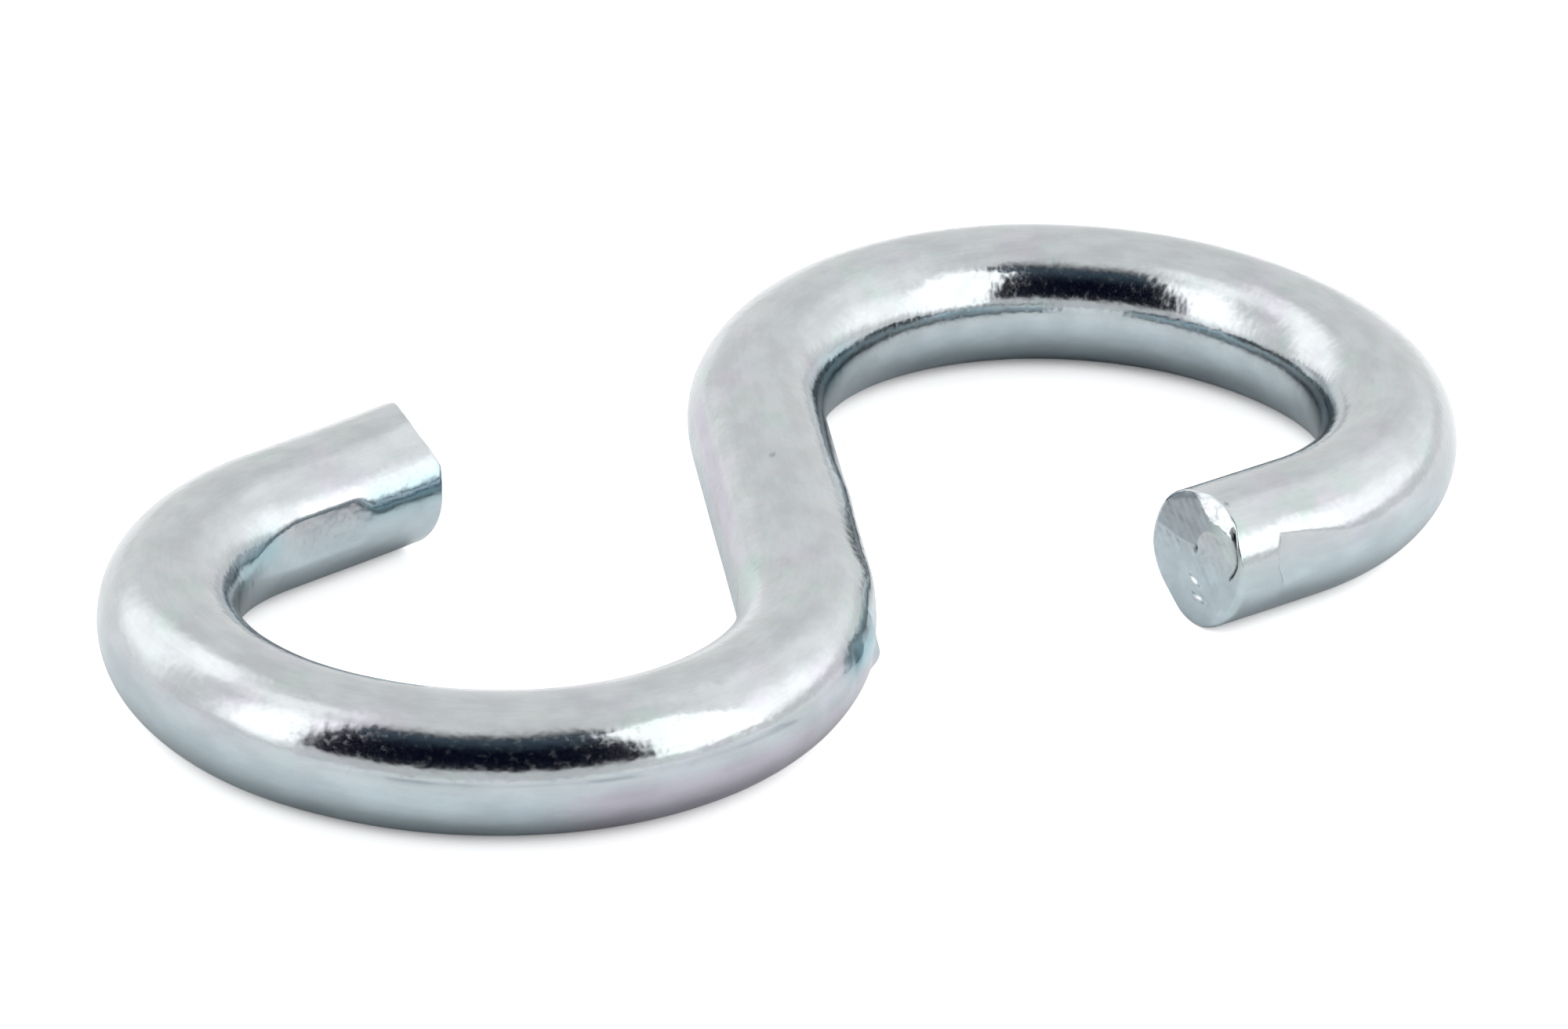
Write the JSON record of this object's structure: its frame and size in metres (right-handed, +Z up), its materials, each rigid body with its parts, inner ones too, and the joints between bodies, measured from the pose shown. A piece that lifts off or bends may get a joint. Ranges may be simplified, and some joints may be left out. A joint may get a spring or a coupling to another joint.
{
  "type": "s hook",
  "caption": "S hook bent from one round steel wire, with an open loop at each end turned opposite ways and square sheared tips.",
  "frame": {"origin": "middle of the straight waist, on the surface the hook lies on", "axes": "+X along the hook from its left bend to its right bend, +Z up, square to the plane of the bends"},
  "size_m": [0.0545, 0.0273, 0.005],
  "materials": {
    "zinc_wire": "satin bright zinc plate"
  },
  "bodies": {
    "root": {"s_hook": "zinc_wire"}
  },
  "joints": []
}
